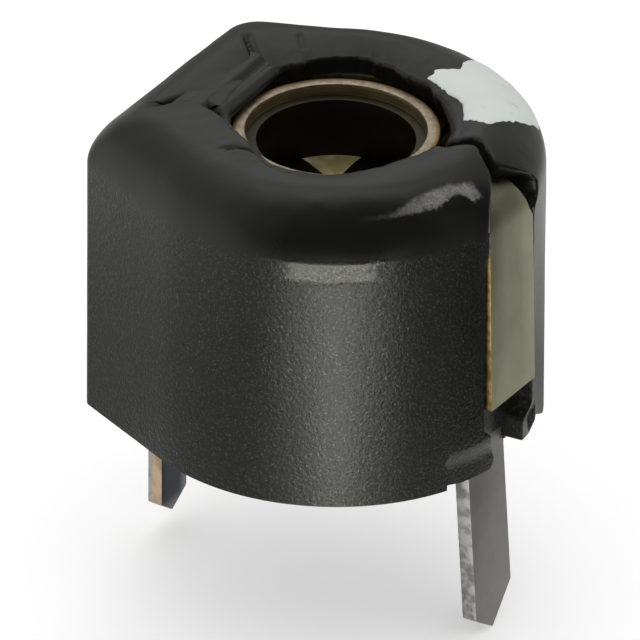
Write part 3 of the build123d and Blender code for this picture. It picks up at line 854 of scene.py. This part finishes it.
# Heights over which one part of the head's finish gives way to the next, and radii over which its top does
TOP_HEIGHTS, MOUTH_HEIGHTS, LEDGE_HEIGHTS = (4.30, 4.355), (4.204, 4.24), (4.185, 4.197)
LAND_FROM, LAND_TO = (3.19, 3.22), (3.34, 3.40)
OUTER_RADII = (1.365, 1.405)

# Brass on the top of the head; painted shade over olive tarnish in its mouth, on its ledge and in the well;
# painted light on the slot's lands
TOP_DARK, TOP_PINK, TOP_OUTER = (0.34, 0.28, 0.20), (0.56, 0.46, 0.33), (0.34, 0.23, 0.085)
PAINTED_SHADE_MOUTH, PAINTED_SHADE_MOUTH_BRASS = (0.10, 0.08, 0.03), (0.22, 0.17, 0.06)
PAINTED_SHADE_LEDGE, PAINTED_SHADE_LEDGE_OLIVE = (0.020, 0.018, 0.007), (0.055, 0.050, 0.025)
PAINTED_SHADE_WELL = (0.018, 0.016, 0.009)
PAINTED_LIGHT_BRASS, PAINTED_LIGHT_BRIGHT = (0.62, 0.52, 0.22), (1.0, 0.93, 0.62)


def lathe(profile, parts=180):
    """Closed mesh turned from a profile of (radius, height) that starts and ends on the axis."""
    rim = profile[1:-1]
    points = [(r * cos(2 * pi * n / parts), r * sin(2 * pi * n / parts), z)
              for r, z in rim for n in range(parts)]
    first, last = len(points), len(points) + 1
    points += [(0, 0, profile[0][1]), (0, 0, profile[-1][1])]
    base = (len(rim) - 1) * parts
    faces = band_faces(len(rim), parts)
    faces += [(first, (n + 1) % parts, n) for n in range(parts)]
    faces += [(last, base + n, base + (n + 1) % parts) for n in range(parts)]
    return points, faces


def trough(length, section, angle):
    """Bar centred on the axis and turned about it, from half its section as (half width, height) upward."""
    turn = radians(angle)
    across = [(-half, z) for half, z in section] + [(half, z) for half, z in reversed(section)]
    points = [(end * cos(turn) - side * sin(turn), end * sin(turn) + side * cos(turn), z)
              for end in (-length / 2, length / 2) for side, z in across]
    count = len(across)
    faces = [tuple(range(count)), tuple(reversed(range(count, 2 * count)))]
    faces += [(i, i + count, (i + 1) % count + count, (i + 1) % count) for i in range(count)]
    return points, faces


def cut_out(piece, points, faces):
    """Takes a closed shape in mm out of a piece."""
    cutter_mesh = bpy.data.meshes.new("cutter")
    cutter_mesh.from_pydata([tuple(c * MM for c in p) for p in points], [], faces)
    cutter = linked("cutter", cutter_mesh)
    cut = piece.modifiers.new("slot", "BOOLEAN")
    cut.object = cutter
    cut.operation = "DIFFERENCE"
    cut.solver = "EXACT"
    settle(piece)
    bpy.data.objects.remove(cutter)


def turned_brass():
    """Tarnished brass: pinkish where it is handled; painted shade over olive tarnish, darker step by step
    down the mouth, ledge and well; painted light on the slot's lands.
    """
    brass = Finish("turned_brass")
    x, y, z = brass.axes(brass.place(), "XYZ")
    (upward,) = brass.axes(brass.facing(), "Z")
    cloud, fine, grime = brass.noise(0.35, 3.0), brass.noise(0.05, 3.0, 0.6), brass.noise(0.09, 4.0, 0.7)
    patches = brass.between(cloud, 0.35, 0.65)
    top = brass.reached(z, *TOP_HEIGHTS)
    mouth = brass.reached(z, *MOUTH_HEIGHTS)
    ledge = brass.reached(z, *LEDGE_HEIGHTS)
    # Painted light: the upward-facing lands at the foot of the well are given a bright colour
    painted_light_land = brass.reached(z, *LAND_FROM) * (1 - brass.reached(z, *LAND_TO))
    painted_light_land = painted_light_land * brass.between(upward, 0.93, 0.98)
    outer = brass.reached((x * x + y * y) ** 0.5 + 0.05 * MM * (cloud - 0.5), *OUTER_RADII)
    worn = brass.mix(brass.between(grime, 0.35, 0.65), TOP_DARK, TOP_PINK)
    worn = brass.mix(outer * 0.8, worn, TOP_OUTER)
    # Painted shade: the ledge and the well are darker than the mouth, and the mouth darker than the top
    well_painted_shade = brass.mix(ledge, PAINTED_SHADE_WELL, brass.mix(cloud, PAINTED_SHADE_LEDGE, PAINTED_SHADE_LEDGE_OLIVE))
    well_painted_shade = brass.mix(mouth, well_painted_shade, brass.mix(cloud, PAINTED_SHADE_MOUTH, PAINTED_SHADE_MOUTH_BRASS))
    colour = brass.mix(painted_light_land, brass.mix(top, well_painted_shade, worn), brass.mix(patches, PAINTED_LIGHT_BRASS, PAINTED_LIGHT_BRIGHT))
    brass.set(Base_Color=colour, Metallic=0.75 + 0.25 * top)
    brass.set(Roughness=0.34 + 0.18 * fine + 0.10 * top - 0.04 * painted_light_land, Normal=brass.bump(fine, 0.003))
    return brass


rotor_profile = [
    (0, JOURNAL_FOOT), (JOURNAL_RADIUS - 0.03, JOURNAL_FOOT), (JOURNAL_RADIUS, JOURNAL_FOOT + 0.03),
    (JOURNAL_RADIUS, JOURNAL_TOP), (ARBOR_RADIUS, JOURNAL_TOP), (ARBOR_RADIUS, ARBOR_TOP),
    (HUB_RADIUS - CHAMFER, ARBOR_TOP), (HUB_RADIUS, ARBOR_TOP + CHAMFER), (HUB_RADIUS, FLANGE_FOOT),
    (FLANGE_RADIUS - CHAMFER, FLANGE_FOOT), (FLANGE_RADIUS, FLANGE_FOOT + CHAMFER),
    (FLANGE_RADIUS, FLANGE_TOP - CHAMFER), (FLANGE_RADIUS - CHAMFER, FLANGE_TOP), (HEAD_RADIUS, FLANGE_TOP),
    (HEAD_RADIUS, HEAD_TOP - HEAD_CHAMFER), (HEAD_RADIUS - 0.010, HEAD_TOP - 0.012),
    (HEAD_RADIUS - HEAD_CHAMFER, HEAD_TOP), (MOUTH_RADIUS + CHAMFER, HEAD_TOP),
    (MOUTH_RADIUS + MOUTH_CHAMFER, HEAD_TOP - 0.006), (MOUTH_RADIUS, HEAD_TOP - CHAMFER),
    (MOUTH_RADIUS - MOUTH_CHAMFER, LEDGE + 0.015), (MOUTH_RADIUS - CHAMFER, LEDGE),
    (WELL_RADIUS + CHAMFER, LEDGE), (WELL_RADIUS + MOUTH_CHAMFER, LEDGE - 0.005),
    (WELL_RADIUS, LEDGE - CHAMFER), (WELL_RADIUS, 3.8), (WELL_RADIUS, WELL_FLOOR), (0.6, 3.244),
    (0, WELL_CENTRE),
]
spindle = add_piece("turned_rotor", *lathe(rotor_profile), turned_brass(), "rotor", "turned_brass",
                    "rotor_spindle")
straight = ((SLOT_WIDTH / 2, WELL_FLOOR - SLOT_DEPTH), (SLOT_WIDTH / 2, WELL_FLOOR + 0.3))
flared = ((WORN_WIDTH / 2 - WORN_DEPTH, WELL_FLOOR - WORN_DEPTH - 0.02), (WORN_WIDTH / 2, WELL_FLOOR - 0.02),
          (WORN_WIDTH / 2, WELL_FLOOR + 0.02))
for turn in (SLOT_ANGLE, SLOT_ANGLE + 90):
    cut_out(spindle, *trough(SLOT_LENGTH, straight, turn))
    cut_out(spindle, *trough(WORN_LENGTH, flared, turn))
spindle.data.shade_smooth()
spindle.data.set_sharp_from_angle(angle=radians(30))


# Stack inside
# Half-disc plates of bare brass with films between them, clamped under the folded rim. They hardly show,
# but each keeps its own finish: brass, natural moulded plastic, film, a slippery washer and spring bronze.


def stamped_metal(name, dark, light, rough):
    """Bare rolled metal with fine scratches and slight tarnish."""
    metal = Finish(name, Metallic=1.0)
    cloud, fine = metal.noise(0.5, 3.0), metal.noise(0.04, 2.0)
    metal.set(Base_Color=metal.mix(cloud, dark, light), Roughness=rough + 0.15 * fine)
    metal.set(Normal=metal.bump(fine, 0.002))
    return metal.material


def pale_plastic(name, dark, light, rough):
    """Unfilled plastic with a faint cloudiness."""
    plastic = Finish(name, IOR=1.5)
    cloud, fine = plastic.noise(0.6, 3.0), plastic.noise(0.05, 2.0)
    plastic.set(Base_Color=plastic.mix(cloud, dark, light), Roughness=rough + 0.1 * fine)
    plastic.set(Normal=plastic.bump(fine, 0.002))
    return plastic.material


inner_finishes = {
    "plate_brass": stamped_metal("plate_brass", (0.50, 0.34, 0.12), (0.78, 0.58, 0.27), 0.30),
    "spring_bronze": stamped_metal("spring_bronze", (0.05, 0.035, 0.02), (0.10, 0.07, 0.04), 0.35),
    "natural_plastic": pale_plastic("natural_plastic", (0.40, 0.37, 0.30), (0.55, 0.52, 0.44), 0.45),
    "ptfe": pale_plastic("ptfe", (0.70, 0.70, 0.69), (0.80, 0.80, 0.79), 0.40),
    "dielectric_film": pale_plastic("dielectric_film", (0.35, 0.28, 0.14), (0.50, 0.42, 0.24), 0.18),
}
for subpart in frame["record"]["subparts"]:
    node = frame["nodes"][subpart["node"]]
    if subpart["material_slot"] in inner_finishes:
        node.data.materials.clear()
        node.data.materials.append(inner_finishes[subpart["material_slot"]])


# Floor, light and camera
# A pale floor at the tips of the leads, one soft lamp in a pale room, cards that gloss alone sees, and the
# photograph's viewpoint.

FLOOR_Z, FLOOR_HALF = -2.76, 3000
FLOOR_GREY, FLOOR_PALE, FLOOR_GLOW = (0.80, 0.80, 0.80), (0.82, 0.82, 0.82), (0.28, 0.28, 0.28)
LAMP_BACK, LAMP_HEIGHT, LAMP_AIM, LAMP_SIZE, LAMP_POWER = 60, 80, 3, 60, 0.007
VIEW_TURN, VIEW_RISE, VIEW_ROLL = (radians(a) for a in (31.7, 30.0, 0.38))
PX_PER_MM, LENS, SENSOR, FRAME_PX = 72.2, 1500.0, 36.0, 640
ORIGIN_PX = (334.3, 402.6)


def floor_finish():
    """Pale floor that the lens sees as white paper, with the part's shadow kept."""
    floor = Finish("pale_floor", Roughness=0.6, Emission_Strength=1.0)
    camera_ray, glossy_ray, clear_ray = (
        floor.node("LightPath", output=f"Is {kind} Ray") for kind in ("Camera", "Glossy", "Transmission"))
    seen = floor.math("MAXIMUM", floor.math("MAXIMUM", camera_ray, glossy_ray), clear_ray)
    floor.set(Base_Color=floor.mix(floor.noise(4.0, 2.0), FLOOR_GREY, FLOOR_PALE))
    floor.set(Emission_Color=floor.mix(seen, (0.0, 0.0, 0.0), FLOOR_GLOW))
    return floor


floor_mesh = bpy.data.meshes.new("floor")
floor_corners = [(x * FLOOR_HALF * MM, y * FLOOR_HALF * MM, FLOOR_Z * MM)
                 for x, y in ((-1, -1), (1, -1), (1, 1), (-1, 1))]
floor_mesh.from_pydata(floor_corners, [], [(0, 1, 2, 3)])
floor_mesh.materials.append(floor_finish().material)
floor_object = linked("floor", floor_mesh)

world = bpy.context.scene.world or bpy.data.worlds.new("room")
bpy.context.scene.world = world
world.use_nodes = True
background = world.node_tree.nodes["Background"]
background.inputs["Color"].default_value = (1.0, 1.0, 1.0, 1)
background.inputs["Strength"].default_value = 1.0

right = Vector((cos(VIEW_TURN), sin(VIEW_TURN), 0))
up = Vector((-sin(VIEW_TURN) * sin(VIEW_RISE), cos(VIEW_TURN) * sin(VIEW_RISE), cos(VIEW_RISE)))
back = right.cross(up)
level_right = cos(VIEW_ROLL) * right + sin(VIEW_ROLL) * up
level_up = cos(VIEW_ROLL) * up - sin(VIEW_ROLL) * right
toward = Vector((back.x, back.y, 0)).normalized()

lamp = bpy.data.lights.new("top_lamp", "AREA")
lamp.size = LAMP_SIZE * MM
lamp.energy = LAMP_POWER
lamp_object = linked("top_lamp", lamp)
lamp_place = -toward * LAMP_BACK + Vector((0, 0, LAMP_HEIGHT))
lamp_object.location = lamp_place * MM
lamp_object.rotation_euler = (Vector((0, 0, LAMP_AIM)) - lamp_place).to_track_quat("-Z", "Y").to_euler()


def card(name, profile, angles, shade, steps=24):
    """Card that only gloss sees, bent round the part: its profile, swept over angles to the view."""
    facing = atan2(toward.y, toward.x)
    points = []
    for number in range(steps + 1):
        angle = facing + radians(angles[0] + (angles[1] - angles[0]) * number / steps)
        points += [(d * cos(angle) * MM, d * sin(angle) * MM, z * MM) for d, z in profile]
    rows = len(profile)
    faces = []
    for number in range(steps):
        for row in range(rows - 1):
            a = number * rows + row
            faces.append((a, a + rows, a + rows + 1, a + 1))
    mesh = bpy.data.meshes.new(name)
    mesh.from_pydata(points, [], faces)
    finish = Finish(name, Base_Color=(0.0, 0.0, 0.0), Roughness=1.0, Specular_IOR_Level=0.0,
                    Emission_Color=(shade, shade, shade), Emission_Strength=1.0)
    mesh.materials.append(finish.material)
    sheet = linked(name, mesh)
    sheet.visible_camera = False
    sheet.visible_diffuse = False
    sheet.visible_shadow = False


# Profile of each card as (distance from the axis, height), its angles from the view, and its shade
CARDS = {
    "front_sheet": (((6.5, -2.6), (11.2, -2.6)), (-7, 8), 6.5),
    "front_far_sheet": (((11.2, -2.6), (15.4, -2.6)), (-7, 8), 3.3),
    "front_screen": (((15.5, -2.4), (15.5, -1.0)), (-24, 24), 13.6),
    "front_top_card": (((15.5, -0.95), (15.5, 1.9)), (-26, 26), 0.0),
    "front_card": (((15.5, 1.95), (15, 8), (12, 14), (7, 19), (0.5, 21)), (-42, 62), 0.0),
    "left_front_card": (((6.5, -2.65), (15.4, -2.7), (15.5, 2.0)), (-55, -26), 0.42),
    "right_front_card": (((6.5, -2.65), (15.4, -2.65), (15.5, 2.0)), (27, 75), 0.26),
    "right_card": (((6.5, -2.7), (7.5, 10), (7.5, 20)), (58, 92), 0.0),
    "left_low_card": (((6.0, -2.66), (8.5, -2.7), (8.65, -0.6)), (-150, -42), 0.47),
    "left_card": (((8.65, -0.6), (8.8, 1.7)), (-150, -42), 0.85),
    "left_middle_card": (((8.8, 1.7), (9, 6.5)), (-150, -42), 0.95),
    "left_sky_card": (((9, 6.6), (9, 20)), (-150, -42), 0.60),
    "back_card": (((16, -2.0), (16, 8), (14, 26)), (105, 170), 0.46),
    "left_back_low_card": (((16, -2.0), (16, 9)), (170, 255), 0.25),
    "left_back_card": (((16, 9), (14, 26)), (170, 255), 0.82),
    "plate_floor_card": (((7.5, -2.7), (10, -2.7)), (95, 125), 0.40),
    "plate_far_card": (((10.1, -2.69), (15, -2.69)), (93, 125), 2.2),
    "near_floor_card": (((5.0, -2.7), (7.8, -2.7)), (125, 178), 0.28),
    "middle_floor_card": (((7.8, -2.7), (10.5, -2.7)), (125, 178), 0.46),
    "far_floor_card": (((10.5, -2.7), (15, -2.7)), (128, 178), 0.98),
}
for name, (profile, angles, shade) in CARDS.items():
    card(name, profile, angles, shade)

camera_data = bpy.data.cameras.new("camera")
camera_data.lens = LENS
camera_data.sensor_width = SENSOR
camera_data.clip_start = 0.001
camera_data.clip_end = 10
camera = linked("camera", camera_data)
middle = FRAME_PX / 2
target = (level_right * (middle - ORIGIN_PX[0]) - level_up * (middle - ORIGIN_PX[1])) / PX_PER_MM
distance = FRAME_PX / PX_PER_MM * LENS / SENSOR
camera.matrix_world = Matrix((level_right, level_up, back)).transposed().to_4x4()
camera.matrix_world.translation = (target + back * distance) * MM
bpy.context.scene.camera = camera
bpy.context.scene.view_settings.view_transform = "Standard"
